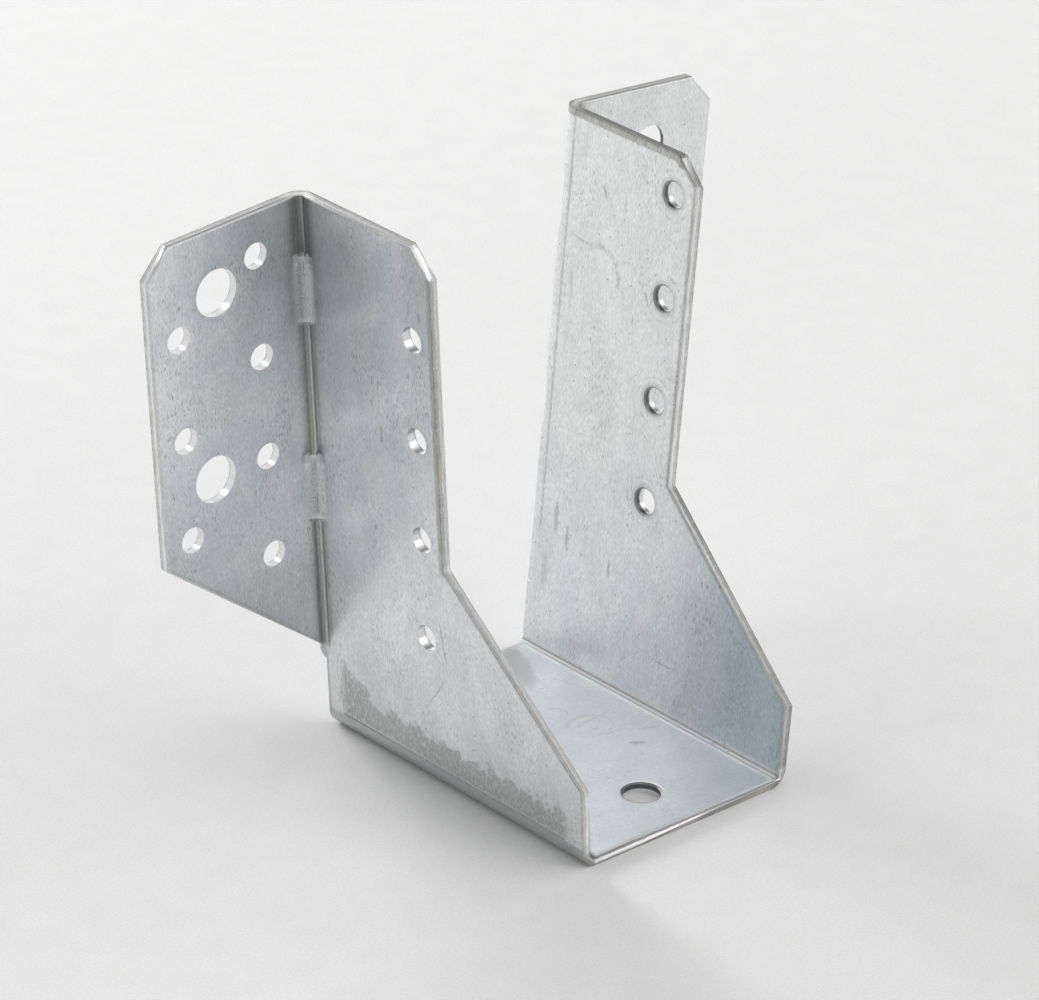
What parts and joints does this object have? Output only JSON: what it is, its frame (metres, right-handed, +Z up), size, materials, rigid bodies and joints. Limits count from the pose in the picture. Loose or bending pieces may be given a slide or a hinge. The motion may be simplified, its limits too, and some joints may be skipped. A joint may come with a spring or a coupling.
{
  "type": "joist hanger",
  "caption": "U-shaped joist hanger folded from galvanised sheet steel, with a flat seat, two side walls and a perforated flange turned outwards at the rear of each wall.",
  "frame": {"origin": "on the floor under the middle of the footprint", "axes": "X runs across the seat, +Y points to the rear, where the flanges lie on the header, +Z is up"},
  "size_m": [0.1336, 0.0716, 0.1088],
  "materials": {
    "galvanised_sheet": "hot-dip galvanised, dull bluish grey with a fine upright grain and handling marks"
  },
  "bodies": {
    "root": {"joist_hanger": "galvanised_sheet"}
  },
  "joints": []
}
